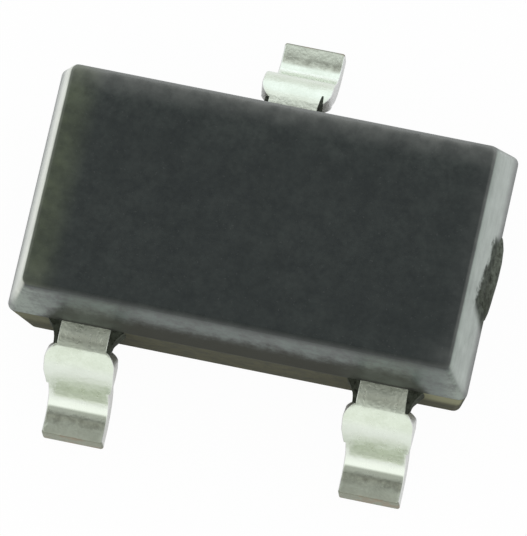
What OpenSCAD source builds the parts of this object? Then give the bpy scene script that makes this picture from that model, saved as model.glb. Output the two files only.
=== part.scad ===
// Three-lead surface-mount transistor: an epoxy moulding round three formed leads and a bonded chip.
// Millimetres. The origin is on the board, under the middle of the moulding. X runs along the
// moulding, +Y points to the single lead and +Z is up.

/* [Moulding] */
// Length of the moulding at its parting line
body_length = 2.92; // [2.8:0.02:3.2]
// Width of the moulding at its parting line
body_width = 1.6; // [1.5:0.02:1.7]
// Height of the top face above the board
body_top = 1.1; // [1.06:0.01:1.3]
// Gap between the underside and the board
standoff = 0.05; // [0.02:0.01:0.1]
// Height of the parting line, which is also the top of the lead frame
parting_height = 0.67; // [0.62:0.01:0.7]
// Height of the upright witness strip at the parting line
parting_land = 0.01; // [0.005:0.005:0.03]
// Draft of the two ends above the parting line, in degrees
upper_end_draft = 14; // [5:1:16]
// Draft of the two long sides above the parting line, in degrees
upper_side_draft = 10; // [5:1:14]
// Draft of all four sides below the parting line, in degrees
lower_draft = 7; // [4:1:10]
// Radius of the upright corners at the parting line
corner_radius = 0.06; // [0.03:0.01:0.12]
// Radius of the edges round the top face and the underside
edge_radius = 0.03; // [0.015:0.005:0.05]

/* [Leads] */
// Width over the tips of the feet
overall_width = 2.8; // [2.7:0.02:3.1]
// Distance between the two front leads
pitch = 1.9; // [1.8:0.02:2.0]
// Thickness of the lead frame
lead_thickness = 0.13; // [0.1:0.01:0.16]
// Width of a lead where it leaves the moulding
root_width = 0.32; // [0.26:0.01:0.36]
// Width over the stubs of the cut dam bar
ear_width = 0.45; // [0.42:0.01:0.5]
// Width of the foot
foot_width = 0.39; // [0.34:0.01:0.42]
// Distance along a front lead from the moulding to the stubs of the cut dam bar
front_ear_start = 0.12; // [0.08:0.01:0.16]
// Distance along the back lead from the moulding to its stubs
back_ear_start = 0.07; // [0.05:0.01:0.16]
// Distance along a lead from the moulding to the end of the stubs
ear_end = 0.44; // [0.34:0.01:0.5]
// Length of the flat part of the foot
foot_length = 0.09; // [0.05:0.01:0.12]
// Slope of the lead between its bends, in degrees from level
forming_angle = 75; // [68:1:82]
// Inside radius of the upper bend
upper_bend_radius = 0.12; // [0.06:0.01:0.14]
// Inside radius of the lower bend
lower_bend_radius = 0.16; // [0.08:0.01:0.18]

/* [Flash and gate scar] */
// Thickness of the flash web at its outer end, beside the lead root
web_tip = 0.02; // [0.01:0.005:0.05]
// Radius of the flash web's hollow edge
web_radius = 0.2; // [0.19:0.01:0.3]
// Length of the gate scar along the end of the moulding
gate_length = 0.52; // [0.3:0.02:0.7]
// Place of the gate scar's middle along Y
gate_middle = 0.02; // [-0.1:0.01:0.1]
// How far the gate scar stands out from the parting line
gate_reach = 0.035; // [0.02:0.005:0.06]
// Height of the gate scar's peak above the parting line
gate_peak = 0.21; // [0.15:0.01:0.25]
// Height of the gate scar's low end above the parting line
gate_low = 0.09; // [0.05:0.01:0.14]
// Depth of the gate scar below the parting line
gate_depth = 0.06; // [0.03:0.01:0.1]
// Length of the flat crests at the gate scar's peak and low end
gate_crest = 0.04; // [0.02:0.01:0.06]

/* [Lead frame inside] */
// Distance from the moulding's sides to the paddle and the posts
frame_cover = 0.16; // [0.12:0.01:0.2]
// Size of the chip paddle along X
paddle_length = 0.95; // [0.7:0.05:1.1]
// Size of the chip paddle along Y
paddle_width = 0.7; // [0.6:0.02:0.75]
// Size of a bond post along X
post_length = 0.6; // [0.5:0.02:0.7]
// Size of a bond post along Y
post_width = 0.28; // [0.2:0.02:0.32]
// Shift of a bond post from its lead towards the middle
post_shift = 0.05; // [0:0.01:0.1]

/* [Chip] */
// Side of the square chip
die_size = 0.36; // [0.3:0.02:0.44]
// Thickness of the chip
die_height = 0.15; // [0.12:0.01:0.18]
// Thickness of the layer under the chip
attach_height = 0.02; // [0.01:0.005:0.03]
// How far that layer spreads past the chip on each side
attach_margin = 0.03; // [0.01:0.01:0.05]

/* [Bond wires] */
// Diameter of the wire
wire_diameter = 0.03; // [0.02:0.005:0.04]
// Diameter of the ball bond on the chip
ball_diameter = 0.07; // [0.06:0.005:0.09]
// Height of the ball bond
ball_height = 0.02; // [0.015:0.005:0.03]
// Distance of the ball from the chip's middle along X and Y
pad_offset = 0.09; // [0.06:0.01:0.1]
// Height of the wire's control points above the chip
loop_rise = 0.14; // [0.1:0.01:0.16]
// Length of the flattened stitch on the post
stitch_length = 0.05; // [0.03:0.01:0.08]
// Width of the flattened stitch
stitch_width = 0.05; // [0.035:0.005:0.06]
// Thickness of the flattened stitch
stitch_thickness = 0.012; // [0.008:0.002:0.02]

/* [Hidden] */
$fn = 24;

// Faces of each bend, sides of the wire and rings along it
bend_steps = 10;
wire_sides = 8;
wire_rings = 16;
// How far a cutting or joining shape runs past what it meets
overrun = 0.1;
// How much of a bonded face its seat covers
seat_share = 0.9;

half_length = body_length / 2;
half_width = body_width / 2;
half_pitch = pitch / 2;
tip_reach = overall_width / 2;
frame_bottom = parting_height - lead_thickness;

// Bends of the lead in its own side view: distance out from the middle of the part, and height
upper_outer_radius = upper_bend_radius + lead_thickness;
lower_outer_radius = lower_bend_radius + lead_thickness;
upper_middle_radius = upper_bend_radius + lead_thickness / 2;
both_bends = upper_outer_radius + lower_bend_radius;
slope_length = (frame_bottom - both_bends * (1 - cos(forming_angle))) / sin(forming_angle);
lower_bend = [tip_reach - foot_length, lead_thickness + lower_bend_radius];
upper_bend = [lower_bend.x - both_bends * sin(forming_angle) - slope_length * cos(forming_angle),
              parting_height - upper_outer_radius];
// Straight length between the moulding and the upper bend
root_run = upper_bend.x - half_width;
// Length of the upper bend along the middle of the strip
upper_arc = forming_angle * PI / 180 * upper_middle_radius;

// Paddle, posts and chip, in the part's frame
paddle_back = half_width - frame_cover;
paddle_front = paddle_back - paddle_width;
post_inner_end = half_width - frame_cover - post_width;
die_middle = (paddle_back + paddle_front) / 2;
die_bottom = parting_height + attach_height;
die_top = die_bottom + die_height;

// Bond wire in the upright plane from its ball to its stitch
wire_radius = wire_diameter / 2;
// Where along the span the wire's curve leaves the ball and turns down to the post
loop_start = 0.05;
loop_end = 0.6;
ball_place = [-pad_offset, die_middle - pad_offset];
stitch_place = [-half_pitch + post_shift, -(post_inner_end + post_width / 2)];
wire_span = norm(stitch_place - ball_place);
wire_heading = (stitch_place - ball_place) / wire_span;
// Height of a ring's middle above its lowest face, as a share of the ring's half height
ring_rise = cos(180 / wire_sides);
wire_curve = [[0, die_top + ball_height / 2], [loop_start * wire_span, die_top + loop_rise],
              [loop_end * wire_span, die_top + loop_rise],
              [wire_span - stitch_length, parting_height + ring_rise * stitch_thickness / 2]];

function arc(centre, radius, from, to) =
    [for (i = [0 : bend_steps]) let (a = from + (to - from) * i / bend_steps)
        centre + radius * [cos(a), sin(a)]];

// Slope of the lead, and the middle of its thickness, at a distance along it from the moulding
function lead_angle(distance) = forming_angle * max(0, min(1, (distance - root_run) / upper_arc));

function lead_place(distance) =
    let (a = lead_angle(distance),
         straight = min(0, distance - root_run) + max(0, distance - root_run - upper_arc))
    upper_bend + upper_middle_radius * [sin(a), cos(a)] + straight * [cos(a), -sin(a)];

function bezier(p, t) =
    pow(1 - t, 3) * p[0] + 3 * t * pow(1 - t, 2) * p[1] + 3 * t * t * (1 - t) * p[2] + pow(t, 3) * p[3];

function bezier_slope(p, t) =
    3 * pow(1 - t, 2) * (p[1] - p[0]) + 6 * t * (1 - t) * (p[2] - p[1]) + 3 * t * t * (p[3] - p[2]);

// One ring of wire points round a place in the wire's plane, square to the direction given. A rise
// lifts the ring by that share of its half height, so that it can stand on its place.
function wire_ring(place, direction, half_width, half_height, rise = 0) =
    let (d = direction / norm(direction))
    [for (k = [0 : wire_sides - 1])
        let (a = (k + 0.5) * 360 / wire_sides,
             side = half_width * cos(a),
             lift = half_height * (sin(a) + rise),
             along = place.x - lift * d.y)
        [ball_place.x + wire_heading.x * along + wire_heading.y * side,
         ball_place.y + wire_heading.y * along - wire_heading.x * side,
         place.y + lift * d.x]];

// A half ball with a true top, for rounding the ends of a hull
module dome(radius) {
    rotate_extrude() intersection() {
        circle(radius);
        square(radius);
    }
}

// The drafted block, widest at its parting line
module drafted_block() {
    upper_rise = body_top - parting_height - edge_radius;
    lower_drop = parting_height - parting_land - standoff - edge_radius;
    top_x = half_length - upper_rise * tan(upper_end_draft) - edge_radius / cos(upper_end_draft);
    top_y = half_width - upper_rise * tan(upper_side_draft) - edge_radius / cos(upper_side_draft);
    low_inset = lower_drop * tan(lower_draft) + edge_radius / cos(lower_draft);
    hull() for (x = [-1, 1], y = [-1, 1]) {
        translate([x * top_x, y * top_y, body_top - edge_radius]) dome(edge_radius);
        translate([x * (half_length - corner_radius), y * (half_width - corner_radius),
                   parting_height - parting_land])
            cylinder(r = corner_radius, h = parting_land);
        translate([x * (half_length - low_inset), y * (half_width - low_inset), standoff + edge_radius])
            mirror([0, 0, 1]) dome(edge_radius);
    }
}

// The broken stub where the epoxy flowed in: highest off its middle, fading into the drafted end
module gate_scar() {
    peak_at = gate_middle - (gate_length + 2 * gate_crest) / 4;
    low_at = gate_middle + gate_length / 2 - gate_crest;
    inside = half_length - overrun - gate_peak * tan(upper_end_draft);
    hull() {
        translate([inside, gate_middle - gate_length / 2, parting_height - gate_depth])
            cube([half_length + gate_reach - inside, gate_length, gate_depth]);
        translate([inside, peak_at, parting_height])
            cube([half_length - inside - gate_peak * tan(upper_end_draft), gate_crest, gate_peak]);
        translate([inside, low_at, parting_height])
            cube([half_length - inside - gate_low * tan(upper_end_draft), gate_crest, gate_low]);
    }
}

// Puts what is modelled at the single lead at the left front lead
module at_base() {
    translate([-half_pitch, 0, 0]) rotate([0, 0, 180]) children();
}

module at_emitter() {
    mirror([1, 0, 0]) at_base() children();
}

// The strip of lead frame in its formed side view, from its inner end to the tip of the foot
module lead_profile(inner_end) {
    polygon(concat(
        [[inner_end, parting_height]],
        arc(upper_bend, upper_outer_radius, 90, 90 - forming_angle),
        arc(lower_bend, lower_bend_radius, 270 - forming_angle, 270),
        [[tip_reach, lead_thickness], [tip_reach, 0]],
        arc(lower_bend, lower_outer_radius, 270, 270 - forming_angle),
        arc(upper_bend, upper_bend_radius, 90 - forming_angle, 90),
        [[inner_end, frame_bottom]]));
}

// In that side view, all that lies past a cut square to the strip
module beyond(distance) {
    translate(lead_place(distance)) rotate(-lead_angle(distance))
        translate([0, -body_width / 2]) square(body_width);
}

// A side view drawn out to a width about the lead's middle
module drawn_out(width) {
    rotate([90, 0, 90]) linear_extrude(width, center = true) children();
}

// The formed lead in its widths: root, dam bar stubs, foot, and the head inside the moulding
module formed_lead(inner_end, ear_start, head_length, head_width, head_shift = 0) {
    drawn_out(root_width) lead_profile(inner_end);
    drawn_out(ear_width) difference() {
        intersection() {
            lead_profile(inner_end);
            beyond(ear_start);
        }
        beyond(ear_end);
    }
    drawn_out(foot_width) intersection() {
        lead_profile(inner_end);
        beyond((ear_start + ear_end) / 2);
    }
    translate([head_shift, 0, 0]) drawn_out(head_length) intersection() {
        lead_profile(inner_end);
        translate([inner_end, 0]) square([head_width, body_top]);
    }
}

module front_lead() {
    formed_lead(post_inner_end, front_ear_start, post_length, post_width, -post_shift);
}

// Slivers of epoxy beside one lead root, which filled the gap up to the dam bar and were formed with it
module flash_webs(ear_start) {
    reach = lead_place(ear_start).x + lead_thickness / 2 * sin(lead_angle(ear_start)) - half_width;
    intersection() {
        drawn_out(root_width + 2 * (web_tip + web_radius)) difference() {
            lead_profile(half_width - overrun);
            beyond(ear_start);
        }
        linear_extrude(body_top) for (side = [0, 1]) translate([0, half_width])
            mirror([side, 0]) translate([root_width / 2, 0]) difference() {
                translate([0, -overrun]) square([web_tip + web_radius, reach + overrun]);
                translate([web_tip + web_radius, reach]) circle(web_radius);
            }
    }
}

module bond_wire() {
    rings = [for (i = [0 : wire_rings - 1]) let (t = i / wire_rings)
        wire_ring(bezier(wire_curve, t), bezier_slope(wire_curve, t), wire_radius, wire_radius)];
    stitch = [for (x = [wire_span - stitch_length, wire_span])
        wire_ring([x, parting_height], [1, 0], stitch_width / 2, stitch_thickness / 2, ring_rise)];
    all = concat(rings, stitch);
    last = len(all) - 1;
    tube = [for (i = [0 : last - 1], k = [0 : wire_sides - 1])
        let (a = i * wire_sides + k, b = i * wire_sides + (k + 1) % wire_sides)
        each [[a, b, b + wire_sides], [a, b + wire_sides, a + wire_sides]]];
    start_cap = [for (k = [wire_sides - 1 : -1 : 0]) k];
    end_cap = [for (k = [0 : wire_sides - 1]) last * wire_sides + k];
    polyhedron([for (ring = all) each ring], concat(tube, [start_cap, end_cap]));
    translate([ball_place.x, ball_place.y, die_top])
        cylinder(d1 = ball_diameter, d2 = wire_diameter + ball_height, h = ball_height);
}

module collector_lead() {
    color("silver") formed_lead(paddle_front, back_ear_start, paddle_length, paddle_width);
}

module base_lead() {
    color("silver") at_base() front_lead();
}

module emitter_lead() {
    color("silver") at_emitter() front_lead();
}

module die_attach() {
    attach_size = die_size + 2 * attach_margin;
    color("darkgray") translate([-attach_size / 2, die_middle - attach_size / 2, parting_height])
        cube([attach_size, attach_size, attach_height]);
}

module silicon_die() {
    color("slategray") translate([-die_size / 2, die_middle - die_size / 2, die_bottom])
        cube([die_size, die_size, die_height]);
}

module base_bond_wire() {
    color("gold") bond_wire();
}

module emitter_bond_wire() {
    color("gold") mirror([1, 0, 0]) bond_wire();
}

// The middle of a bonded face of the lead frame, at its exact height, which keeps the hollow for the
// pieces bonded to it joined to the hollow for the frame
module bond_seat(length, width) {
    translate([0, 0, parting_height]) mirror([0, 0, 1])
        translate([-seat_share * length / 2, -seat_share * width / 2, 0])
            cube([seat_share * length, seat_share * width, lead_thickness / 2]);
}

module mold_body() {
    color("darkslategray") difference() {
        union() {
            drafted_block();
            gate_scar();
            flash_webs(back_ear_start);
            at_base() flash_webs(front_ear_start);
            at_emitter() flash_webs(front_ear_start);
        }
        collector_lead();
        base_lead();
        emitter_lead();
        die_attach();
        silicon_die();
        base_bond_wire();
        emitter_bond_wire();
        translate([0, die_middle, 0]) bond_seat(paddle_length, paddle_width);
        for (side = [-1, 1])
            translate([side * stitch_place.x, stitch_place.y, 0]) bond_seat(post_length, post_width);
    }
}

mold_body();
collector_lead();
base_lead();
emitter_lead();
die_attach();
silicon_die();
base_bond_wire();
emitter_bond_wire();
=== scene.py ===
# %% [markdown]
# # A three-lead surface-mount transistor
# The object is about three millimetres long: a block of black epoxy with one tinned lead behind and two
# in front, each bent down to a flat foot. The solid model is loaded first and stays fixed. It could be
# shown as it is, but its edges are sharp and it has no finish. So it says where everything is, and the
# pieces modelled below stand in for the solids that a camera can see.

# %% Load the solid model
import math

import bmesh
import bpy
from mathutils import Matrix, Vector


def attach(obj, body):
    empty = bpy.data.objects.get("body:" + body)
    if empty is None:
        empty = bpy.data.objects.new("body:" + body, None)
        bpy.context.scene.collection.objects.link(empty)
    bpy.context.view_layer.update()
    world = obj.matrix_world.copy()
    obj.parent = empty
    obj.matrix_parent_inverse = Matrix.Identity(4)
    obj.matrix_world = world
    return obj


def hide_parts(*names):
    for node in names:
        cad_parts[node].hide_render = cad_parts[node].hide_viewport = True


MILLIMETRE = 0.001

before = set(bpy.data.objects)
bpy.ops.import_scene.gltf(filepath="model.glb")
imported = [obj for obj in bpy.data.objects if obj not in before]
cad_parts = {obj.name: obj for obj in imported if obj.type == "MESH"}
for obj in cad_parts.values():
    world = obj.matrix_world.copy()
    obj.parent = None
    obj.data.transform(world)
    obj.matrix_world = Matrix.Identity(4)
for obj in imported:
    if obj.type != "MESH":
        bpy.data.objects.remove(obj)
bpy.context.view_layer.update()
print("solids:", ", ".join(sorted(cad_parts)))

# %% [markdown]
# Edit tools such as bevel and merge have limits that suit furniture, and the rolled edge of a lead,
# 0.009 mm, is far below them. So every piece is modelled a thousand times too large, with one unit for
# one millimetre, and shrunk when it is finished. A piece starts as a primitive that is named and opened
# in edit mode. At the end its doubles are merged and its faces are turned outwards. An operator acts on
# all that is selected, so everything else is deselected first.

# %% Open and close a piece
MERGE = 1e-5


def activate(piece):
    """Selects one piece alone and makes it the active one."""
    bpy.ops.object.select_all(action="DESELECT")
    piece.select_set(True)
    bpy.context.view_layer.objects.active = piece


def apply_place(piece):
    """Applies location, turn and scale, so that a piece's place is in its mesh."""
    activate(piece)
    bpy.ops.object.transform_apply(location=True, rotation=True, scale=True)


def open_new(name):
    """Names the primitive that was just added, applies its size and turn, and opens it for editing."""
    piece = bpy.context.object
    piece.name = piece.data.name = name
    apply_place(piece)
    bpy.ops.object.mode_set(mode="EDIT")
    return piece


def open_block(name, middle, size):
    """Adds a cube of a size at a place and opens it for editing."""
    bpy.ops.object.select_all(action="DESELECT")
    bpy.ops.mesh.primitive_cube_add(size=1, location=middle, scale=size)
    return open_new(name)


def close_piece():
    """Merges doubles, turns all faces outwards and leaves edit mode."""
    bpy.ops.mesh.select_all(action="SELECT")
    bpy.ops.mesh.remove_doubles(threshold=MERGE)
    bpy.ops.mesh.normals_make_consistent(inside=False)
    bpy.ops.object.mode_set(mode="OBJECT")


print("one unit is a millimetre until a piece is scaled by", MILLIMETRE)

# %% [markdown]
# With the mouse, a modeller clicks on the faces to move. A script could name them by number, but the
# numbers change with every cut. So points, edges and faces are picked by where they are and which way
# they look, which goes on working when a size changes.

# %% Pick, draw out and cut
NEAR, NEARBY, ALONG = 1e-4, 1e-3, 0.9


def pick(kind, test):
    """Selects the points, edges or faces whose middle and direction pass a test."""
    bpy.ops.mesh.select_mode(type=kind)
    bpy.ops.mesh.select_all(action="DESELECT")
    mesh = bmesh.from_edit_mesh(bpy.context.edit_object.data)
    mesh.normal_update()
    for part in {"VERT": mesh.verts, "EDGE": mesh.edges, "FACE": mesh.faces}[kind]:
        if kind == "VERT":
            middle, way = part.co, part.normal
        elif kind == "EDGE":
            first, second = (vertex.co for vertex in part.verts)
            middle, way = (first + second) / 2, (second - first).normalized()
        else:
            middle, way = part.calc_center_median(), part.normal
        if test(middle, way):
            part.select_set(True)
    mesh.select_flush_mode()
    bmesh.update_edit_mesh(bpy.context.edit_object.data)


def extrude(x, y, z):
    """Draws out what is selected."""
    bpy.ops.mesh.extrude_region_move(TRANSFORM_OT_translate={"value": (x, y, z)})


def cut(place, way):
    """Cuts the whole piece along a plane and keeps both sides."""
    bpy.ops.mesh.select_all(action="SELECT")
    bpy.ops.mesh.bisect(plane_co=place, plane_no=way)


print("places nearer than", NEAR, "mm count as one")

# %% [markdown]
# A lead is stamped from a strip of copper alloy 0.13 mm thick, plated with tin, and bent twice over a
# forming tool: down at the shoulder and out again at the foot. It could be typed in as a list of points,
# but then no size could change alone. So the few sizes of a lead are written down, all of them those of
# the solid model, and the rest follows. A place on the strip is given by its distance from the moulding.

# %% Sizes of a lead
FRAME_TOP, THICKNESS = 0.67, 0.13
MOULD_SIDE, TIP_REACH = 0.80, 1.40
ROOT_WIDTH, EAR_WIDTH, FOOT_WIDTH = 0.32, 0.45, 0.39
FOOT_LENGTH, FORMING = 0.09, math.radians(75)
FRONT_EAR, BACK_EAR, EAR_END = 0.12, 0.07, 0.44
UPPER_RADIUS, LOWER_RADIUS = 0.12, 0.16

upper_outer = UPPER_RADIUS + THICKNESS
upper_middle = UPPER_RADIUS + THICKNESS / 2
both_bends = upper_outer + LOWER_RADIUS
slope_length = (FRAME_TOP - THICKNESS - both_bends * (1 - math.cos(FORMING))) / math.sin(FORMING)
lower_centre = Vector((0, TIP_REACH - FOOT_LENGTH, THICKNESS + LOWER_RADIUS))
upper_centre = Vector((0, 0, FRAME_TOP - upper_outer))
upper_centre.y = lower_centre.y - both_bends * math.sin(FORMING) - slope_length * math.cos(FORMING)
root_run = upper_centre.y - MOULD_SIDE


def strip_way(turn):
    """The way the strip runs where it has turned down by an angle."""
    return Vector((0, math.cos(turn), -math.sin(turn)))


def strip_turn(distance):
    """How far the strip has turned down at a distance along it."""
    return min(FORMING, max(0, distance - root_run) / upper_middle)


def strip_place(distance):
    """The middle of the strip's thickness at a distance along it."""
    turn = strip_turn(distance)
    straight = min(0, distance - root_run) + max(0, distance - root_run - FORMING * upper_middle)
    in_bend = upper_middle * Vector((0, math.sin(turn), math.cos(turn)))
    return upper_centre + in_bend + straight * strip_way(turn)


print(f"slope {slope_length:.3f} mm, root {root_run:.3f} mm, foot {FOOT_LENGTH} mm")

# %% [markdown]
# The strip could be bent from a flat shape with a deformer, but the spin tool does just what the forming
# tool does. A plane becomes the strip's end, is extruded along each straight run and is spun about the
# middle of each bend. Then the sides are drawn out: for the stubs of the dam bar, which tied the leads
# together until it was cut, for the foot, and for the head inside the moulding.

# %% Form a strip
BEND_STEP = math.radians(5)


def bend(angle, centre):
    """Spins the strip's end about the middle of a bend, downwards for a positive angle."""
    steps = max(1, round(abs(angle) / BEND_STEP))
    bpy.ops.mesh.spin(steps=steps, angle=angle, center=centre, axis=(1, 0, 0))


def past(distance):
    """A test for what lies beyond a cut across the strip."""
    place, way = strip_place(distance), strip_way(strip_turn(distance))
    return lambda middle: (middle - place).dot(way) > 0


def widen(test, left, right):
    """Draws side faces of the strip out to the left and the right."""
    for side, amount in ((-1, left), (1, right)):
        pick("FACE", lambda middle, normal: normal.x * side > ALONG and test(middle))
        extrude(side * amount, 0, 0)


def form_lead(name, ear_start, inner_end, head_length, head_width, head_shift=0):
    """Makes a lead that points backwards, from the end of its head to its tip."""
    start = (0, inner_end, FRAME_TOP - THICKNESS / 2)
    bpy.ops.object.select_all(action="DESELECT")
    bpy.ops.mesh.primitive_plane_add(size=1, location=start, rotation=(math.pi / 2, 0, 0))
    piece = open_new(name)
    bpy.ops.mesh.select_all(action="SELECT")
    bpy.ops.transform.resize(value=(ROOT_WIDTH, 1, THICKNESS), center_override=start)
    extrude(0, head_width, 0)
    extrude(0, MOULD_SIDE + root_run - inner_end - head_width, 0)
    bend(strip_turn(ear_start), upper_centre)
    bend(FORMING - strip_turn(ear_start), upper_centre)
    ear_on_slope = EAR_END - root_run - upper_middle * FORMING
    extrude(*strip_way(FORMING) * ear_on_slope)
    extrude(*strip_way(FORMING) * (slope_length - ear_on_slope))
    bend(-FORMING, lower_centre)
    extrude(0, FOOT_LENGTH, 0)
    bpy.ops.mesh.select_all(action="SELECT")
    bpy.ops.mesh.normals_make_consistent(inside=False)
    at_ear, past_ear = past(ear_start), past(EAR_END)
    stub, foot = (EAR_WIDTH - ROOT_WIDTH) / 2, (FOOT_WIDTH - ROOT_WIDTH) / 2
    widen(lambda middle: at_ear(middle) and not past_ear(middle), stub, stub)
    widen(past_ear, foot, foot)
    spare = (head_length - ROOT_WIDTH) / 2
    widen(lambda middle: middle.y < inner_end + head_width, spare - head_shift, spare + head_shift)
    close_piece()
    return piece


print("a full bend is spun in", round(FORMING / BEND_STEP), "steps")

# %% [markdown]
# The stubs of the dam bar were torn as much as cut, so each one flares out from the root and tapers off
# towards the foot. A bevel would round them all alike. So the rings of points across a stub are drawn in
# one after the other to follow the flare, and the last ring is drawn in for the taper.

# %% Ease the stubs
FLARE, FIRST_STEP, LAST_STEP = 0.085, 0.006, 0.014


def ease_stubs(piece, ear_start):
    """Flares and tapers the stubs of a lead that still points backwards."""
    activate(piece)
    bpy.ops.object.mode_set(mode="EDIT")
    half_root, half_ear, half_foot = ROOT_WIDTH / 2, EAR_WIDTH / 2, FOOT_WIDTH / 2
    at_stub = past(ear_start - NEARBY)

    def distance_along(point):
        turn = math.atan2(max(0, point.y - upper_centre.y), point.z - upper_centre.z)
        return min(point.y - MOULD_SIDE, root_run) + turn * upper_middle

    def on_stub(point):
        return abs(abs(point.x) - half_ear) < NEAR and at_stub(point)

    mesh = bmesh.from_edit_mesh(piece.data)
    rings = {round(distance_along(vertex.co), 4) for vertex in mesh.verts if on_stub(vertex.co)}
    flared = sorted(ring for ring in rings if ring < ear_start + FLARE)
    for ring in flared:
        share = max(0, ring - ear_start) / FLARE
        width = half_root + FIRST_STEP + (half_ear - half_root - FIRST_STEP) * share * (2 - share)
        pick("VERT", lambda middle, normal: on_stub(middle) and abs(distance_along(middle) - ring) < 2 * NEAR)
        bpy.ops.transform.resize(value=(width / half_ear, 1, 1), center_override=(0, 0, 0))
    last_ring = past(EAR_END - NEARBY)
    pick("VERT", lambda middle, normal: on_stub(middle) and last_ring(middle))
    bpy.ops.transform.resize(value=((half_foot + LAST_STEP) / half_ear, 1, 1), center_override=(0, 0, 0))
    bpy.ops.object.mode_set(mode="OBJECT")
    print(piece.name, "flared over", len(flared), "rings")


print("a stub flares over", FLARE, "mm")

# %% [markdown]
# Stamping rolls the edges over a little, and plating rounds them more, so a lead has no razor edge. A
# bevel modifier would round the hollow corners too, but the punch leaves those sharp. So the outward
# folds are picked by their angle and bevelled, the corners of the tip first and then the rims.

# %% Round the edges of a strip
TIP_ROLL, EDGE_ROLL, SHARP = 0.016, 0.009, math.radians(40)


def pick_folds(test):
    """Selects the outward folds of an open piece whose middle and length pass a test."""
    bpy.ops.mesh.select_mode(type="EDGE")
    bpy.ops.mesh.select_all(action="DESELECT")
    mesh = bmesh.from_edit_mesh(bpy.context.edit_object.data)
    for edge in mesh.edges:
        first, second = (vertex.co for vertex in edge.verts)
        if edge.calc_face_angle_signed(0) > SHARP and test((first + second) / 2, second - first):
            edge.select_set(True)
    bmesh.update_edit_mesh(bpy.context.edit_object.data)


def roll_edges(piece):
    """Rounds the tip's upright corners and then all outward folds."""
    activate(piece)
    bpy.ops.object.mode_set(mode="EDIT")
    pick_folds(lambda middle, way: middle.y > TIP_REACH - NEARBY and abs(way.z) > THICKNESS - NEARBY)
    bpy.ops.mesh.bevel(offset=TIP_ROLL, segments=3, affect="EDGES")
    pick_folds(lambda middle, way: True)
    bpy.ops.mesh.bevel(offset=EDGE_ROLL, segments=3, affect="EDGES")
    close_piece()


print(f"tip corners {TIP_ROLL} mm, rims {EDGE_ROLL} mm")

# %% [markdown]
# The lead behind is the collector, and its head is the paddle that carries the chip. The base and the
# emitter in front have posts for the wires. Each lead could be modelled by itself, but they come from one
# strip and one set of tools. So one function forms all three, pointing backwards, and the front two are
# turned round. A mesh that looks closed may still have a hole, so each one is also measured.

# %% Make the three leads
PADDLE = {"inner_end": -0.06, "head_length": 0.95, "head_width": 0.7}
POST = {"inner_end": 0.36, "head_length": 0.6, "head_width": 0.28}
POST_SHIFT, HALF_PITCH = 0.05, 0.95
EAR_STARTS = (BACK_EAR, FRONT_EAR, FRONT_EAR)
LEAD_PLACES = ((0, 0), (-HALF_PITCH, math.pi), (HALF_PITCH, math.pi))


def measure(piece):
    """Volume in cubic millimetres and the count of open or doubled edges, while it is at working size."""
    mesh = bmesh.new()
    mesh.from_mesh(piece.data)
    volume, faults = mesh.calc_volume(signed=True), sum(not edge.is_manifold for edge in mesh.edges)
    mesh.free()
    return round(volume, 4), faults


def set_in_place(piece, place, turn):
    """Moves a piece along the moulding, turns it to the front or the back, and applies both."""
    piece.location.x, piece.rotation_euler.z = place, turn
    apply_place(piece)


collector = form_lead("collector_tinned", BACK_EAR, **PADDLE)
base = form_lead("base_tinned", FRONT_EAR, **POST, head_shift=-POST_SHIFT)
emitter = form_lead("emitter_tinned", FRONT_EAR, **POST, head_shift=POST_SHIFT)
leads = (collector, base, emitter)
for lead, ear_start, (place, turn) in zip(leads, EAR_STARTS, LEAD_PLACES):
    print(lead.name, "stamped: volume and faults", measure(lead))
    ease_stubs(lead, ear_start)
    roll_edges(lead)
    set_in_place(lead, place, turn)
    print(lead.name, "rounded: volume and faults", measure(lead), len(lead.data.polygons), "faces")

# %% [markdown]
# The moulding is one shot of epoxy in a two-part mould. Both halves are drafted so that the part drops
# out, and they meet in a thin upright land at the parting line. Two tapered blocks could be joined, but
# one cube keeps the walls whole: it is cut at the land, and its two ends are scaled in for the draft. The
# upright corners are bevelled before the rims, because they have a larger radius.

# %% Block of the moulding
HALF_LENGTH, HALF_WIDTH = 1.46, 0.80
TOP, STANDOFF, LAND, ABOVE_STRIP = 1.10, 0.05, 0.01, 0.002
PARTING = FRAME_TOP + ABOVE_STRIP
END_DRAFT, SIDE_DRAFT, LOW_DRAFT = (math.radians(angle) for angle in (14, 10, 7))
CORNER, RIM = 0.05, 0.03

moulding = open_block("epoxy_moulding", (0, 0, (TOP + STANDOFF) / 2),
                      (2 * HALF_LENGTH, 2 * HALF_WIDTH, TOP - STANDOFF))
for height in (PARTING, PARTING - LAND):
    cut((0, 0, height), (0, 0, 1))
rise, drop = TOP - PARTING, PARTING - LAND - STANDOFF
for level, in_x, in_y in ((TOP, rise * math.tan(END_DRAFT), rise * math.tan(SIDE_DRAFT)),
                          (STANDOFF, drop * math.tan(LOW_DRAFT), drop * math.tan(LOW_DRAFT))):
    pick("FACE", lambda middle, normal: abs(middle.z - level) < NEAR)
    bpy.ops.transform.resize(value=(1 - in_x / HALF_LENGTH, 1 - in_y / HALF_WIDTH, 1),
                             center_override=(0, 0, level))
pick("EDGE", lambda middle, way: abs(way.z) > ALONG)
bpy.ops.mesh.bevel(offset=CORNER, segments=6, affect="EDGES")
pick("EDGE", lambda middle, way: middle.z > TOP - NEAR or middle.z < STANDOFF + NEAR)
bpy.ops.mesh.bevel(offset=RIM, segments=5, affect="EDGES")
close_piece()
print("moulding block: volume and faults", measure(moulding))

# %% [markdown]
# Epoxy flows in through a gate on one end, and the runner is snapped off. What is left is a rough scar
# along the parting line, tallest off its middle. Bump in the finish could roughen it, but bump has no
# outline. So a small block is cut into strips, the strips are raised to the scar's outline, and a fractal
# subdivision breaks the surface up as a fracture does.

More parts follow.
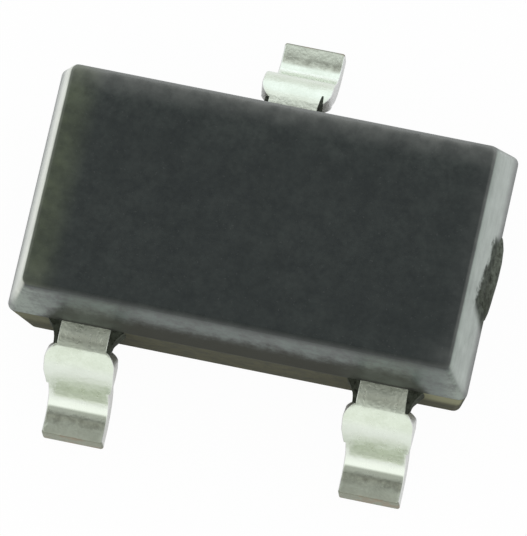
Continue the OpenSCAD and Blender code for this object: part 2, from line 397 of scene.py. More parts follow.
# %% Gate scar
GATE_FROM, GATE_TO, GATE_LOW = -0.275, 0.29, 0.61
GATE_INSIDE, GATE_CREST, GATE_OUT = 1.31, 1.40, 1.492
SCAR_OUTLINE = ((-0.275, 0.02, 0.045), (-0.25, 0.13, 0.03), (-0.2, 0.22, 0.02), (-0.14, 0.23, 0.015),
                (-0.07, 0.18, 0.01), (0.02, 0.14, 0.004), (0.12, 0.12, 0.003), (0.21, 0.11, 0.01),
                (0.265, 0.09, 0.025), (0.29, 0.03, 0.045))

scar = open_block("gate_scar",
                  ((GATE_INSIDE + GATE_OUT) / 2, (GATE_FROM + GATE_TO) / 2, (GATE_LOW + FRAME_TOP) / 2),
                  (GATE_OUT - GATE_INSIDE, GATE_TO - GATE_FROM, FRAME_TOP - GATE_LOW))
for place, _, _ in SCAR_OUTLINE[1:-1]:
    cut((0, place, 0), (0, 1, 0))
cut((GATE_CREST, 0, 0), (1, 0, 0))
for place, height, shortfall in SCAR_OUTLINE:
    pick("VERT", lambda middle, normal: abs(middle.y - place) < NEAR and middle.x < GATE_CREST + NEAR
         and middle.z > FRAME_TOP - NEAR)
    bpy.ops.transform.translate(value=(0, 0, height))
    pick("VERT", lambda middle, normal: abs(middle.y - place) < NEAR and middle.x > GATE_CREST + NEAR)
    bpy.ops.transform.translate(value=(-shortfall, 0, 0))
bpy.ops.mesh.select_all(action="SELECT")
bpy.ops.mesh.quads_convert_to_tris()
bpy.ops.mesh.subdivide(number_cuts=4, fractal=0.18, fractal_along_normal=0.6, seed=7)
close_piece()
print("gate scar: volume and faults", measure(scar), len(scar.data.polygons), "faces")

# %% [markdown]
# Beside each lead root a sliver of flash fills the gap that the dam bar closed. It is thin, hollow-edged
# and was formed with the lead, so a flat web would hang in the air past the bend. A small block is cut
# into sections, each section is narrowed to the hollow edge, and those past the start of the bend are
# turned with it. The block starts inside the lead, so that cutting the lead out later leaves a snug face
# and no film.

# %% Flash slivers
WEB_TIP, WEB_RADIUS, WEB_SECTIONS, WEB_INSIDE = 0.02, 0.2, 8, 0.05
WEB_SKIN, WEB_OVERLAP = 0.002, 0.02


def plan_reach(distance):
    """How far out the strip's upper face is at a distance along it."""
    return strip_place(distance).y + THICKNESS / 2 * math.sin(strip_turn(distance)) - MOULD_SIDE


def flash_sliver(name, ear_start, side):
    """Makes the sliver on one side of a lead that points backwards."""
    length = ear_start + WEB_SKIN
    inner, lead_side = MOULD_SIDE - WEB_INSIDE, ROOT_WIDTH / 2

    def hollow_width(distance):
        left = plan_reach(length) - plan_reach(distance)
        return WEB_TIP + WEB_RADIUS - math.sqrt(WEB_RADIUS**2 - left**2)

    bottom_width = hollow_width(0)
    piece = open_block(name, (side * (lead_side + (bottom_width - WEB_OVERLAP) / 2),
                              (inner + MOULD_SIDE + length) / 2, FRAME_TOP - THICKNESS / 2),
                       (bottom_width + WEB_OVERLAP, length + WEB_INSIDE, THICKNESS - 2 * WEB_SKIN))
    stations = [length * step / WEB_SECTIONS for step in range(WEB_SECTIONS + 1)]
    for station in stations[:-1]:
        cut((0, MOULD_SIDE + station, 0), (0, 1, 0))
    for station in stations:
        here = MOULD_SIDE + station
        pick("VERT", lambda middle, normal: abs(middle.y - here) < NEAR and side * middle.x > lead_side)
        bpy.ops.transform.translate(value=(side * (hollow_width(station) - bottom_width), 0, 0))
    for station in stations:
        turn = strip_turn(station)
        if turn > 0:
            here = MOULD_SIDE + station
            pick("VERT", lambda middle, normal: abs(middle.y - here) < NEAR)
            bpy.ops.transform.translate(value=(0, upper_centre.y - here, 0))
            bpy.ops.transform.rotate(value=turn, orient_axis="X", center_override=upper_centre)
    close_piece()
    return piece


flash = []
for lead, ear_start, (place, turn) in zip(leads, EAR_STARTS, LEAD_PLACES):
    for side in (-1, 1):
        sliver = flash_sliver(f"sliver_{lead.name}_{side}", ear_start, side)
        set_in_place(sliver, place, turn)
        flash.append(sliver)
        print(sliver.name, "volume and faults", measure(sliver))

# %% [markdown]
# Where the mould closes on the strip, a tongue of resin now and then creeps out over the metal. Two of
# them show as dark marks at the roots of the leads. They could be painted on, but they have a thickness.
# So each is a wedge that is cut at the start of the bend, pointed at its tip, and let down so that it
# lies on the strip.

# %% Flash tongues
TONGUE_RISE, TONGUE_SINK, TONGUE_WIDTH, TONGUE_TIP = 0.006, 0.03, 0.036, 0.95
TONGUE_TAPER = ((0.25, 0.9), (0.5, 0.75), (0.75, 0.6), (1, 0.3))
TONGUES = (("tongue_collector", 0.17, LEAD_PLACES[0]), ("tongue_emitter", -0.165, LEAD_PLACES[2]))


def strip_height(y):
    """Height of the strip's upper face at a distance from the moulding's middle, as far as the shoulder."""
    return upper_centre.z + math.sqrt(upper_outer**2 - max(0, y - upper_centre.y)**2)


def flash_tongue(name, x):
    """Makes a tongue on a lead that points backwards."""
    inner = MOULD_SIDE - WEB_INSIDE
    piece = open_block(name, (x, (inner + TONGUE_TIP) / 2, FRAME_TOP + (TONGUE_RISE - TONGUE_SINK) / 2),
                       (TONGUE_WIDTH, TONGUE_TIP - inner, TONGUE_RISE + TONGUE_SINK))
    taper = [(MOULD_SIDE + (TONGUE_TIP - MOULD_SIDE) * share, width) for share, width in TONGUE_TAPER]
    for y, _ in taper[:-1]:
        cut((0, y, 0), (0, 1, 0))
    for y, width in taper:
        pick("VERT", lambda middle, normal: abs(middle.y - y) < NEAR)
        bpy.ops.transform.resize(value=(width, 1, 1), center_override=(x, y, FRAME_TOP))
        bpy.ops.transform.translate(value=(0, 0, strip_height(y) - FRAME_TOP))
    close_piece()
    return piece


for name, x, (place, turn) in TONGUES:
    tongue = flash_tongue(name, x)
    set_in_place(tongue, place, turn)
    flash.append(tongue)
    print(tongue.name, "volume and faults", measure(tongue))

# %% [markdown]
# Scar, slivers and tongues are one shot with the block. Pushed into it as loose shells they would leave
# hidden walls inside, so they are joined to it by boolean union. They carry a second material slot,
# because broken and squeezed-out resin is rougher than a moulded face.

# %% Join the epoxy
MOULDED, BROKEN = 0, 1


def modify(piece, kind, **settings):
    """Adds a modifier with its settings and applies it."""
    activate(piece)
    bpy.ops.object.modifier_add(type=kind)
    modifier = piece.modifiers[-1]
    for name, value in settings.items():
        setattr(modifier, name, value)
    bpy.ops.object.modifier_apply(modifier=modifier.name)


def combine(piece, tool, operation):
    """Joins a tool to a piece or cuts it out."""
    modify(piece, "BOOLEAN", object=tool, operation=operation, solver="MANIFOLD")


for piece in (moulding, scar, *flash):
    activate(piece)
    for _ in (MOULDED, BROKEN):
        bpy.ops.object.material_slot_add()
for part in (scar, *flash):
    for face in part.data.polygons:
        face.material_index = BROKEN
    combine(moulding, part, "UNION")
    bpy.data.objects.remove(part)
print("joined: volume and faults", measure(moulding))

# %% [markdown]
# Resin flowed round the leads, the chip, its bond and the wires, so the block has a pocket that they
# fill. It could stay solid, because nobody sees inside, but a part that is shown cut open would then have
# metal and epoxy in one place. The leads are cut out as they are. Copies of the inner solids reach a
# little into what they stand on, so that no two cuts share a plane.

# %% Cut the pocket
BOND_TOP, CHIP_TOP, SEAT_OVERLAP = 0.69, 0.84, 0.004
SEATS = {"die_attach": (FRAME_TOP,), "silicon_die": (BOND_TOP,), "base_bond_wire": (FRAME_TOP, CHIP_TOP),
         "emitter_bond_wire": (FRAME_TOP, CHIP_TOP)}

for lead in leads:
    combine(moulding, lead, "DIFFERENCE")
print("cut for the leads: volume and faults", measure(moulding))
for name, seats in SEATS.items():
    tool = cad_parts[name].copy()
    tool.data = tool.data.copy()
    tool.parent = None
    bpy.context.scene.collection.objects.link(tool)
    tool.scale = (1 / MILLIMETRE,) * 3
    apply_place(tool)
    bpy.ops.object.mode_set(mode="EDIT")
    bpy.ops.mesh.select_all(action="SELECT")
    bpy.ops.mesh.remove_doubles(threshold=NEAR)
    pick("VERT", lambda middle, normal: min(abs(middle.z - height) for height in seats) < NEARBY)
    bpy.ops.transform.translate(value=(0, 0, -SEAT_OVERLAP))
    bpy.ops.object.mode_set(mode="OBJECT")
    combine(moulding, tool, "DIFFERENCE")
    bpy.data.objects.remove(tool)
    print("cut for", name, "volume and faults", measure(moulding))

# %% [markdown]
# The four pieces now go down to their real size, with the scale applied so that their place is in the
# mesh. Flat shading would show every facet of the bends, and smooth shading would bulge the flat faces.
# So faces are smooth except over sharp edges, and weighted normals keep the large faces flat beside their
# rounded rims. Each piece then takes the place of its solid.

# %% Bring the pieces to real size
SMOOTH_BELOW = math.radians(35)

mesh = bmesh.new()
mesh.from_mesh(moulding.data)
for edge in mesh.edges:
    edge.smooth = len({face.material_index for face in edge.link_faces}) == 1
mesh.to_mesh(moulding.data)
mesh.free()
for piece in (moulding, *leads):
    piece.scale = (MILLIMETRE,) * 3
    apply_place(piece)
    bpy.ops.object.shade_smooth_by_angle(angle=SMOOTH_BELOW)
    modify(piece, "WEIGHTED_NORMAL", keep_sharp=True)
    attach(piece, "root")
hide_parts("mold_body")
for lead, node in zip(leads, ("collector_lead", "base_lead", "emitter_lead")):
    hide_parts(node)
    print(lead.name, "stands for", node)

# %% [markdown]
# Finishes could be wired up node by node, but a long chain of Math nodes is hard to read. So they are
# written as sums. This class wraps a shader socket: adding or multiplying two of them adds the Math node
# that does it, and every other node comes from one method.

# %% Shader sums
class Signal:
    """A shader socket that can be used in a sum."""

    def __init__(self, tree, socket=None):
        self.tree, self.socket = tree, socket

    def node(self, kind, settings, inputs, output=0):
        """Adds a node, sets it up, links or fills its sockets and gives one of its outputs, if it has any."""
        node = self.tree.nodes.new("ShaderNode" + kind)
        for name, value in settings.items():
            setattr(node, name, value)
        for name, value in inputs.items():
            if isinstance(value, Signal):
                self.tree.links.new(value.socket, node.inputs[name])
            else:
                node.inputs[name].default_value = value
        return Signal(self.tree, node.outputs[output] if len(node.outputs) else None)

    def maths(self, operation, first, second):
        return self.node("Math", {"operation": operation}, {0: first, 1: second})

    def __add__(self, other):
        return self.maths("ADD", self, other)

    def __sub__(self, other):
        return self.maths("SUBTRACT", self, other)

    def __rsub__(self, other):
        return self.maths("SUBTRACT", other, self)

    def __mul__(self, other):
        return self.maths("MULTIPLY", self, other)

    __radd__, __rmul__ = __add__, __mul__

    def rise(self, low, high):
        """Goes smoothly from 0 at low to 1 at high, or the other way round where low is the larger."""
        if low > high:
            return 1 - self.rise(high, low)
        return self.node("MapRange", {"interpolation_type": "SMOOTHSTEP"},
                         {"Value": self, "From Min": low, "From Max": high})

    def blend(self, first, second):
        """Mixes two colours, with this signal as the share of the second."""
        return self.node("Mix", {"data_type": "RGBA"}, {0: self, 6: first, 7: second}, output=2)

    def stretched(self, x, y, z):
        """This place signal with its axes scaled."""
        return self.node("Mapping", {}, {"Vector": self, "Scale": (x, y, z)})

    def noise(self, scale, detail=2.0, roughness=0.5):
        """A noise pattern on this place signal, with about this many blobs to a millimetre."""
        return self.node("TexNoise", {}, {"Vector": self, "Scale": scale, "Detail": detail,
                                          "Roughness": roughness})

    def bump(self, strength, distance):
        """A relief of this height signal, with its full depth in metres."""
        return self.node("Bump", {}, {"Height": self, "Strength": strength, "Distance": distance})

    def parts(self):
        """The x, y and z of a vector signal."""
        split = self.node("SeparateXYZ", {}, {0: self}).socket.node
        return [Signal(self.tree, output) for output in split.outputs]


print("a signal can be added, subtracted, multiplied, stepped and blended")

# %% [markdown]
# A finish belongs to a place on the piece. Patterns could lie on a UV map, but then every piece would
# have to be unwrapped. Here they read object coordinates, which a Mapping node turns into millimetres, so
# a speck of 0.01 mm is written as such. The closing shader is the Principled one that a new material has.

# %% Start a finish
def rgb(red, green, blue):
    return (red, green, blue, 1)


def new_finish(name):
    """A new material, its closing shader and its place signal in millimetres."""
    material = bpy.data.materials.new(name)
    material.use_nodes = True
    tree = material.node_tree
    place = Signal(tree).node("TexCoord", {}, {}, output="Object")
    return material, tree.nodes["Principled BSDF"], place.stretched(*(1 / MILLIMETRE,) * 3)


def feed(shader, **inputs):
    """Fills or links sockets of the closing shader. A socket's name is written with _ for a space."""
    for name, value in inputs.items():
        socket = shader.inputs[name.replace("_", " ")]
        if isinstance(value, Signal):
            value.tree.links.new(value.socket, socket)
        else:
            socket.default_value = value


print("patterns are scaled by", 1 / MILLIMETRE)

# %% [markdown]
# Moulding compound is epoxy filled with glass dust and blackened with soot. One flat black would look
# like paint, because the real skin is clouded, blotched and grainy, each at its own scale. So a few noise
# patterns are made once, and every zone of the block draws on them. Zones are found by place and by the
# direction a face looks in, so one material covers the block with no seam between its faces.

# %% Patterns in the epoxy
epoxy, shader, place = new_finish("epoxy_moulded")
x, y, z = place.parts()
face_x, face_y, face_z = place.node("TexCoord", {}, {}, output="Normal").parts()
cloud = place.noise(2.2, detail=5, roughness=0.6)
blotch = place.noise(9, detail=3, roughness=0.6)
grain = place.noise(28, detail=3, roughness=0.65)
streaks = place.stretched(3, 3, 26).noise(1, detail=3, roughness=0.6)
specks = place.noise(75, detail=1).rise(0.68, 0.8)
mottle = blotch.rise(0.3, 0.7)
crumble = grain.rise(0.36, 0.62)
print("patterns in the epoxy:", len(epoxy.node_tree.nodes), "nodes")

# %% [markdown]
# The flat top is matt and nearly black, faintly mottled, with pale specks of filler. Its rounded rims carry a
# painted highlight, the strip along its back and its front corners are paler, and its left end has an olive
# cast. These could be painted by hand, but steps in place and direction need no image and follow the rims by
# themselves.

# %% Epoxy on the flat top
tone = (0.2 + 1.6 * cloud) * (0.3 + 0.7 * grain.rise(0.3, 0.7) + 0.7 * mottle)
haze = tone * (0.3 + 0.2 * y.rise(0.35, 0.6) + 0.15 * x.rise(-0.9, -1.36))
colour = haze.blend(rgb(0.0055, 0.0095, 0.009), rgb(0.034, 0.042, 0.037))
colour = (specks * 0.5).blend(colour, rgb(0.05, 0.055, 0.052))
near_corner = (x * x).rise(1.1, 1.9)
# Painted highlight: the rounded rims of the top are made paler.
rim = face_z.rise(0.995, 0.9) * face_z.rise(0.2, 0.5) * (0.1 + 0.9 * y.rise(-0.7, -0.5))
# The strip along the back and the front corners of the top are made paler.
pale_strips = y.rise(0.54, 0.74) + 0.8 * y.rise(0.67, 0.72) + 0.3 * near_corner * y.rise(-0.5, -0.7)
on_top = face_z.rise(0.3, 0.7) * (0.35 + 0.4 * mottle + 0.5 * cloud)
rim_highlight_and_pale_strips = 0.45 * rim * (0.25 + 0.75 * blotch) + 0.65 * pale_strips * on_top
colour = (rim_highlight_and_pale_strips + 0.08 * on_top * x.rise(1.2, 1.33)).blend(colour, rgb(0.17, 0.175, 0.163))
colour = (0.24 * on_top * x.rise(-1.1, -1.31)).blend(colour, rgb(0.18, 0.215, 0.1))
print("flat top:", len(epoxy.node_tree.nodes), "nodes so far")

# %% [markdown]
# The drafted upper sides come out of a polished cavity, and a pale painted reflection of the floor lies along
# their upper part. It is palest and lightly streaked on the two ends, where it fades towards the parting
# line, paler at the corners than in the middle, and along the front and the back it breaks up into blotches
# lower down. A painted highlight runs along the top of the left end. A material for each face could do this,
# but they would meet in hard lines. So each zone is a product of soft steps and runs into the next.

# %% Epoxy on the upper sides
upper_side = face_z.rise(0.02, 0.12) * face_z.rise(0.94, 0.6)
end_face = (face_x * face_x).rise(0.3, 0.8)
crest = z.rise(1.1, 1.0)
# Painted reflection: the pale band of the upper sides, held where the sides are also polished.
polished = (z + 0.4 * near_corner + 0.1 * (blotch - 0.5) + 0.08 * (grain - 0.5)).rise(0.78, 0.96)
broken_up = 0.05 + 0.5 * mottle + 0.5 * crumble + 0.25 * near_corner
painted_side_reflection = upper_side * polished * crest * (1 - end_face) * broken_up
corner_reflection = near_corner * x.rise(1.6, 0) + x.rise(1.28, 1.42)
side_reflection_colour = corner_reflection.blend(rgb(0.046, 0.076, 0.062), rgb(0.165, 0.205, 0.168))
colour = painted_side_reflection.blend(colour, side_reflection_colour)
streaked = 0.35 + 0.4 * streaks + 0.5 * blotch
# Painted reflection on both ends, fading towards the parting line.
painted_end_reflection = upper_side * end_face * (0.1 + 0.9 * z.rise(0.68, 0.79)) * streaked
colour = painted_end_reflection.blend(colour, rgb(0.325, 0.37, 0.332))
# Painted highlight: a near-white line along the top of the left end.
painted_left_highlight = face_x.rise(-0.3, -0.7) * z.rise(0.72, 0.98) * face_z.rise(0.8, 0.5)
left_highlight_share = 0.6 + 0.2 * y.rise(-0.75, -0.3) + 0.3 * mottle
colour = (painted_left_highlight * left_highlight_share).blend(colour, rgb(0.68, 0.7, 0.61))
print("upper sides:", len(epoxy.node_tree.nodes), "nodes so far")

# %% [markdown]
# When the runner was snapped off, it tore the skin round the scar and left a dark, dull patch with a
# slanted end and a ragged upper edge. It could be modelled as a dent, but it is far shallower than the
# scar, so colour and gloss are enough. Noise that is added to the height makes the edge ragged.

# %% Epoxy torn beside the gate
by_gate = upper_side * face_x.rise(0.5, 0.8) * (y - 0.45 * z).rise(-0.7, -0.6) * y.rise(0.28, 0.2)
torn = by_gate * (z + 0.3 * y + 0.16 * (blotch - 0.5) + 0.1 * (grain - 0.5)).rise(0.9, 0.82)
colour = torn.blend(colour, crumble.blend(rgb(0.02, 0.024, 0.017), rgb(0.06, 0.07, 0.054)))
print("torn skin:", len(epoxy.node_tree.nodes), "nodes so far")

# %% [markdown]
# The lower half comes out dull and a little olive, with a painted reflection near the front corners that
# fades to a darker bottom edge, and the strip below the pale band is dull as well. Over each front root a
# painted reflection of the lead greys the resin, with a painted shadow as a dark line along the metal.
# A second material could start at the parting line, but the dull zone runs across that line, so it is made
# of steps too.

# %% Epoxy of the lower half and over the roots
lower_half = face_z.rise(0.0, -0.08)
dull_side = (1 - polished) * (1 - end_face) * upper_side
dull = (lower_half + dull_side + torn).rise(0, 1)
colour = (0.8 * dull_side).blend(colour, rgb(0.03, 0.03, 0.02))
olive = lower_half * face_z.rise(-1.1, -0.5) * (0.35 + 0.3 * mottle + 0.25 * crumble)
colour = olive.blend(colour, rgb(0.075, 0.071, 0.034))
# Painted reflection on the lower half near the front corners, darker towards the bottom.
painted_low_reflection = lower_half * (x * x).rise(1.0, 1.6) * face_y.rise(-0.7, -0.95) * z.rise(0.3, 0.5)
painted_low_reflection = painted_low_reflection * (0.25 + 0.55 * x.rise(-0.5, 0.5) + 0.2 * blotch)
colour = painted_low_reflection.blend(colour, rgb(0.235, 0.235, 0.14))
front_side = upper_side * face_y.rise(-0.5, -0.8)
# Painted reflection of the leads on the front face above each root.
painted_root_reflection = front_side * (x * x).rise(0.3, 0.85) * (x * x).rise(1.7, 1.0) * z.rise(0.98, 0.75)
colour = (0.75 * painted_root_reflection * (0.5 + 0.5 * mottle)).blend(colour, rgb(0.08, 0.095, 0.077))
# Painted shadow: a dark line on the resin along the top of each front root.
over_roots = front_side * (x * x).rise(0.54, 0.64) * (x * x).rise(1.36, 1.24)
painted_seam_shadow = over_roots * (z + 0.06 * (blotch - 0.5)).rise(0.715, 0.69)
colour = (0.7 * painted_seam_shadow).blend(colour, rgb(0.012, 0.012, 0.01))
print("lower half:", len(epoxy.node_tree.nodes), "nodes so far")

# %% [markdown]
# The skin has a fine relief of grain and filler, and on the upper sides a clear film of resin lies over
# it and shines. A lower roughness could make the sides shine, but then the specks below would turn glossy
# too. So a clear coat gives the shine, held back where the skin is dull or torn.

# %% Epoxy relief and gloss
relief = (0.6 * grain + 0.25 * specks + 0.6 * blotch).bump(0.6, 1.8e-6)
film = 0.4 + 0.25 * streaks + 0.25 * blotch
shine = upper_side * (1 - 0.9 * dull_side) * (0.3 + 0.7 * crest) * film
shine = shine * (1 - torn) + painted_left_highlight * 0.35
feed(shader, Base_Color=colour, Roughness=0.5 + 0.12 * grain + 0.35 * dull, Normal=relief,
     Specular_IOR_Level=0.38, Coat_Weight=shine, Coat_IOR=1.8, Coat_Roughness=0.28)
moulding.data.materials[MOULDED] = epoxy
print("moulded epoxy:", len(epoxy.node_tree.nodes), "nodes")

# %% [markdown]
# Where resin was broken off at the gate or squeezed out beside a lead, the filler is laid bare. That skin
# is rough, dull and olive, with pale and dark crumbs, and the back of the scar has weathered paler. The
# moulded finish could be roughened here, but a fracture has a coarser pattern and no coat, so it gets a
# material of its own.

# %% Broken epoxy
broken, shader, place = new_finish("epoxy_broken")
x, y, _ = place.parts()
crumbs = place.noise(24, detail=4, roughness=0.7)
grit = place.noise(90, detail=2)
pits = place.noise(40, detail=1).rise(0.42, 0.3)
colour = crumbs.rise(0.3, 0.75).blend(rgb(0.018, 0.021, 0.013), rgb(0.06, 0.07, 0.052))
colour = pits.blend(colour, rgb(0.01, 0.011, 0.007))
weathered = x.rise(1.3, 1.4) * y.rise(-0.22, 0.1) * crumbs.rise(0.25, 0.6)
colour = (0.5 * weathered).blend(colour, rgb(0.16, 0.175, 0.145))
relief = (crumbs + 0.4 * grit - 0.5 * pits).bump(0.8, 3e-6)
feed(shader, Base_Color=colour, Roughness=0.75 + 0.2 * grit, Normal=relief, Specular_IOR_Level=0.25)
moulding.data.materials[BROKEN] = broken
print("broken epoxy:", len(broken.node_tree.nodes), "nodes")

# %% [markdown]
# The leads are plated with matt tin. Grey paint would stay the same from every side, but tin is a metal
# and looks like what it mirrors. Colour, roughness and bump only decide how softly. So the patterns come
# first: smears along the strip from the forming tool, patches, dimples, grain and a few dark flecks.

# %% Patterns in the tin
tin, shader, place = new_finish("tin_matt")
x, y, z = place.parts()
face_x, _, face_z = place.node("TexCoord", {}, {}, output="Normal").parts()
smears = place.stretched(30, 5, 5).noise(1, detail=3, roughness=0.6)
patches = place.noise(8, detail=4, roughness=0.6)
dimples = place.noise(20, detail=2, roughness=0.5)
grain = place.noise(60, detail=3, roughness=0.6)
flecks = place.noise(11, detail=2).rise(0.7, 0.78)
plating = (0.6 * patches + 0.4 * grain).rise(0.3, 0.7)
colour = plating.blend(rgb(0.65, 0.71, 0.6), rgb(0.77, 0.835, 0.73))
print("patterns in the tin:", len(tin.node_tree.nodes), "nodes")

# %% [markdown]
# Level faces are greyer, and the feet carry stains. A painted shade darkens the feet where the lower bend
# begins, partly inside the stain pattern. Both bends carry a painted highlight. On the front leads a painted
# shadow darkens the first part of the lower bend, and a grey painted shade lies where the roots begin to
# bend, next to the moulding. A UV map along the strip could place these marks, but each belongs to a height
# and a slope, so place and direction find them on every lead at once.

# %% Tin with stains, painted highlights and painted shade
level = face_z.rise(0.93, 0.99)
level_colour = z.rise(0.3, 0.5).blend(rgb(0.62, 0.65, 0.52), rgb(0.75, 0.78, 0.64))
colour = (0.55 * level).blend(colour, level_colour)
lower_bend = z.rise(0.15, 0.165) * z.rise(0.305, 0.255)
upper_bend = z.rise(0.4, 0.48) * z.rise(0.61, 0.54)
# Painted highlight on both bends.
painted_bend_highlight = lower_bend + 0.7 * upper_bend
colour = (0.8 * painted_bend_highlight).blend(colour, rgb(0.9, 0.95, 0.87))
on_foot = level * z.rise(0.3, 0.2)
# Stains on the feet, with painted shade added towards the lower bend.
stains_and_shade = on_foot * (0.3 + 0.5 * (y * y).rise(1.36**2, 1.27**2)) * patches.rise(0.3, 0.6)
colour = (0.35 * stains_and_shade + 0.5 * flecks).blend(colour, rgb(0.3, 0.3, 0.22))
spots = place.noise(14, detail=4, roughness=0.7).rise(0.3, 0.7)
# Painted shade on the feet where the lower bend begins.
painted_foot_shade = on_foot * (y * y).rise(1.345**2, 1.3**2) * spots
colour = (0.6 * painted_foot_shade).blend(colour, rgb(0.17, 0.17, 0.13))
in_front = y.rise(0.2, -0.2)
# Painted shadow on the front leads where the lower bend starts.
painted_front_bend_shadow = in_front * z.rise(0.3, 0.2) * face_z.rise(0.8, 0.87) * face_z.rise(0.99, 0.955)
colour = (0.7 * painted_front_bend_shadow * (0.7 + 0.3 * patches)).blend(colour, rgb(0.12, 0.125, 0.1))
# Painted shade, grey, where the front roots begin to bend next to the moulding.
painted_root_shade = in_front * z.rise(0.5, 0.6) * face_z.rise(0.9, 0.935) * face_z.rise(0.995, 0.97)
colour = (painted_root_shade * (0.6 - 0.25 * x.rise(-0.5, 0.5))).blend(colour, rgb(0.3, 0.32, 0.26))
print("marks of forming:", len(tin.node_tree.nodes), "nodes so far")

# %% [markdown]
# The sides of a lead were sheared, so they are paler and rougher. The tip was cut off after plating and
# shows grey metal and a little copper. These faces could have a material each, but the rolled edges would
# then change colour at a line, and steps in direction fade round them.

# %% Tin where it was cut
sheared = (face_x * face_x).rise(0.03, 0.4)
colour = (0.7 * sheared).blend(colour, rgb(0.74, 0.72, 0.74))
cut_off = (y * y).rise(1.38**2, 1.39**2) * face_z.rise(0.999, 0.97)
colour = (0.9 * cut_off).blend(colour, rgb(0.235, 0.245, 0.19))
colour = (0.4 * cut_off * patches.rise(0.5, 0.62)).blend(colour, rgb(0.3, 0.19, 0.12))
relief = (0.3 * grain + 0.4 * smears + 0.8 * patches + 0.6 * dimples).bump(0.8, 5e-6)
rough = 0.16 + 0.16 * smears + 0.12 * grain + 0.2 * sheared + 0.3 * cut_off + 0.1 * stains_and_shade
feed(shader, Base_Color=colour, Metallic=1 - 0.3 * flecks - 0.7 * cut_off, Roughness=rough, Normal=relief)
for lead in leads:
    lead.data.materials.append(tin)
print("matt tin:", len(tin.node_tree.nodes), "nodes")

# %% [markdown]
# The chip is sealed in, but the part may be shown cut open, so it gets its own finish. Silicon is a dark
# blue-grey mirror on top and sawn at its sides. The cells of the transistor could be modelled, but they
# are thinner than any line here, so a square cell pattern tints the top.

# %% Polished silicon
silicon, shader, place = new_finish("silicon_polished")
_, _, face_z = place.node("TexCoord", {}, {}, output="Normal").parts()
sawn = face_z.rise(0.5, 0.1)
saw_marks = place.stretched(6, 6, 160).noise(1, detail=2)
cells = place.node("TexVoronoi", {"distance": "CHEBYCHEV"}, {"Vector": place, "Scale": 14})
colour = cells.rise(0.2, 0.5).blend(rgb(0.12, 0.14, 0.2), rgb(0.24, 0.25, 0.3))
colour = sawn.blend(colour, rgb(0.2, 0.2, 0.21))
relief = (sawn * saw_marks).bump(0.6, 1e-6)
feed(shader, Base_Color=colour, Metallic=0.4, Roughness=0.12 + 0.35 * sawn + 0.1 * saw_marks, Normal=relief)
print("polished silicon:", len(silicon.node_tree.nodes), "nodes")

# %% [markdown]
# A thin layer of dull alloy bonds the chip to the paddle, and drawn gold wires run from the chip to the
# posts. A plain colour would do for pieces this small, but one noise pattern each tells cast metal from
# drawn metal: blots for the alloy, and lines for the wire.

# %% Bond alloy and gold
bond_alloy, shader, place = new_finish("bond_alloy_dull")
blots = place.noise(18, detail=4, roughness=0.65)
colour = blots.rise(0.3, 0.7).blend(rgb(0.42, 0.41, 0.37), rgb(0.62, 0.61, 0.57))
feed(shader, Base_Color=colour, Metallic=0.9, Roughness=0.35 + 0.2 * blots, Normal=blots.bump(0.6, 2e-6))

gold, shader, place = new_finish("gold_drawn")
drawing = place.stretched(20, 20, 120).noise(1, detail=2)
colour = drawing.rise(0.3, 0.7).blend(rgb(0.78, 0.5, 0.16), rgb(0.92, 0.68, 0.3))
feed(shader, Base_Color=colour, Metallic=1.0, Roughness=0.2 + 0.12 * drawing, Normal=drawing.bump(0.4, 6e-7))

for name, finish in (("silicon_die", silicon), ("die_attach", bond_alloy), ("base_bond_wire", gold),
                     ("emitter_bond_wire", gold)):
    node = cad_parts[name]
    node.data.materials.clear()
    node.data.materials.append(finish)
    print(name, "is", finish.name)

# %% [markdown]
# The photograph is a plain product shot on white. Area lamps could light it, but their outlines would
# show in the tin. So the light is a soft dome, dim in a patch overhead and bright near the horizon, a
# little brighter and cooler behind the part. The flat feet then mirror a grey sky, and bends mirror a
# white one. The camera sees the dome as white.

# %% Dome
OVERHEAD, AROUND, BEHIND = 0.34, 1.05, 0.3
DIM_MIDDLE, DIM_EDGE, DIM_CORE = (-0.1, -0.03, 0.995), 0.86, 0.95

world = bpy.data.worlds.new("soft_dome")
bpy.context.scene.world = world
world.use_nodes = True
world.node_tree.nodes.clear()
sheet = Signal(world.node_tree)
heading = sheet.node("TexCoord", {}, {}, output="Generated")
_, along, up_high = heading.parts()
overhead = sheet.node("VectorMath", {"operation": "DOT_PRODUCT"}, {0: heading, 1: DIM_MIDDLE},
                      output="Value")
low_behind = along.rise(0.1, 0.8) * up_high.rise(0.9, 0.5)
strength = AROUND + (OVERHEAD - AROUND) * overhead.rise(DIM_EDGE, DIM_CORE) + BEHIND * low_behind
colour = along.rise(-0.1, 0.5).blend(rgb(0.99, 1.0, 0.98), rgb(0.92, 0.95, 1.0))
dome = sheet.node("Background", {}, {"Color": colour, "Strength": strength})
white = sheet.node("Background", {}, {"Color": rgb(1, 1, 1), "Strength": 1.0})
seen = sheet.node("LightPath", {}, {}, output="Is Camera Ray")
both = sheet.node("MixShader", {}, {0: seen, 1: dome, 2: white})
sheet.node("OutputWorld", {}, {"Surface": both})
print("dome:", OVERHEAD, "overhead,", AROUND, "around")

# %% [markdown]
# The part lies on a white sheet. More light could make a pale floor white, but it would bleach the part
# as well. So the floor is white for the camera, partly white for mirrors, and a plain pale surface for
# all other light, and it keeps a soft shadow.

# %% Floor
FLOOR_SIZE, FLOOR_DROP = 0.12, 2e-6
WHITE_FOR_CAMERA, WHITE_FOR_MIRRORS = 0.97, 0.55

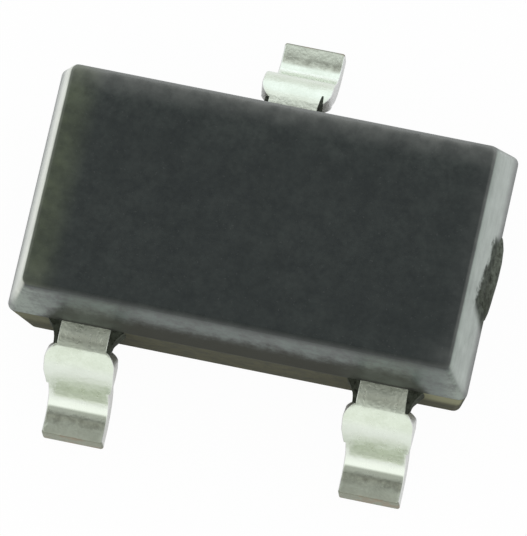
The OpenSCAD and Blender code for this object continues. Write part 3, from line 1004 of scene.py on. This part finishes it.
bpy.ops.object.select_all(action="DESELECT")
bpy.ops.mesh.primitive_plane_add(size=FLOOR_SIZE, location=(0, 0, -FLOOR_DROP))
floor = bpy.context.object
floor.name = "floor"
pale = bpy.data.materials.new("pale_floor")
pale.use_nodes = True
pale.node_tree.nodes.clear()
sheet = Signal(pale.node_tree)
camera_ray = sheet.node("LightPath", {}, {}, output="Is Camera Ray")
mirror_ray = (sheet.node("LightPath", {}, {}, output="Is Glossy Ray")
              + sheet.node("LightPath", {}, {}, output="Is Transmission Ray"))
matt = sheet.node("BsdfDiffuse", {}, {"Color": rgb(0.9, 0.9, 0.89)})
lit = sheet.node("Emission", {}, {"Color": rgb(1, 1, 1), "Strength": 1.0})
share = WHITE_FOR_CAMERA * camera_ray + WHITE_FOR_MIRRORS * mirror_ray
both = sheet.node("MixShader", {}, {0: share, 1: matt, 2: lit})
sheet.node("OutputMaterial", {}, {"Surface": both})
floor.data.materials.append(pale)
print("floor:", FLOOR_SIZE / MILLIMETRE, "mm wide")

# %% [markdown]
# The camera looks down steeply from the front, a little to the right, and is rolled. It could be aimed by
# eye, but its angles, scale and distance were fitted to the edges and lead tips in the photograph, which
# is closer. The lens follows from how many pixels one millimetre takes up at the aim.

# %% Camera
IMAGE_HEIGHT, PIXELS_PER_MM, DISTANCE, SENSOR = 536, 160.25, 54, 36
AZIMUTH, ELEVATION, ROLL = (math.radians(angle) for angle in (22.95, 74.1, -10.87))
AIM_HEIGHT, AIM_RIGHT, AIM_UP = 0.5, -0.0081, -0.1685

back = Vector((math.sin(AZIMUTH) * math.cos(ELEVATION), -math.cos(AZIMUTH) * math.cos(ELEVATION),
               math.sin(ELEVATION)))
sideways = Vector((math.cos(AZIMUTH), math.sin(AZIMUTH), 0))
steep = back.cross(sideways)
right = math.cos(ROLL) * sideways + math.sin(ROLL) * steep
up = math.cos(ROLL) * steep - math.sin(ROLL) * sideways
aim = Vector((0, 0, AIM_HEIGHT)) + AIM_RIGHT * right + AIM_UP * up
camera = bpy.data.objects.new("camera", bpy.data.cameras.new("camera"))
bpy.context.scene.collection.objects.link(camera)
turned = Matrix((right, up, back)).transposed().to_4x4()
camera.matrix_world = Matrix.Translation((aim + DISTANCE * back) * MILLIMETRE) @ turned
camera.data.sensor_width = SENSOR
camera.data.lens = SENSOR * PIXELS_PER_MM * DISTANCE / IMAGE_HEIGHT
camera.data.clip_start, camera.data.clip_end = 0.001, 1
bpy.context.scene.camera = camera
print(f"lens {camera.data.lens:.0f} mm at {DISTANCE} mm")

# %% [markdown]
# Last, the colours go to the screen unchanged. A filmic view would soften the white, but a colour should look
# as it is written.

# %% Finish
bpy.context.scene.view_settings.view_transform = "Standard"
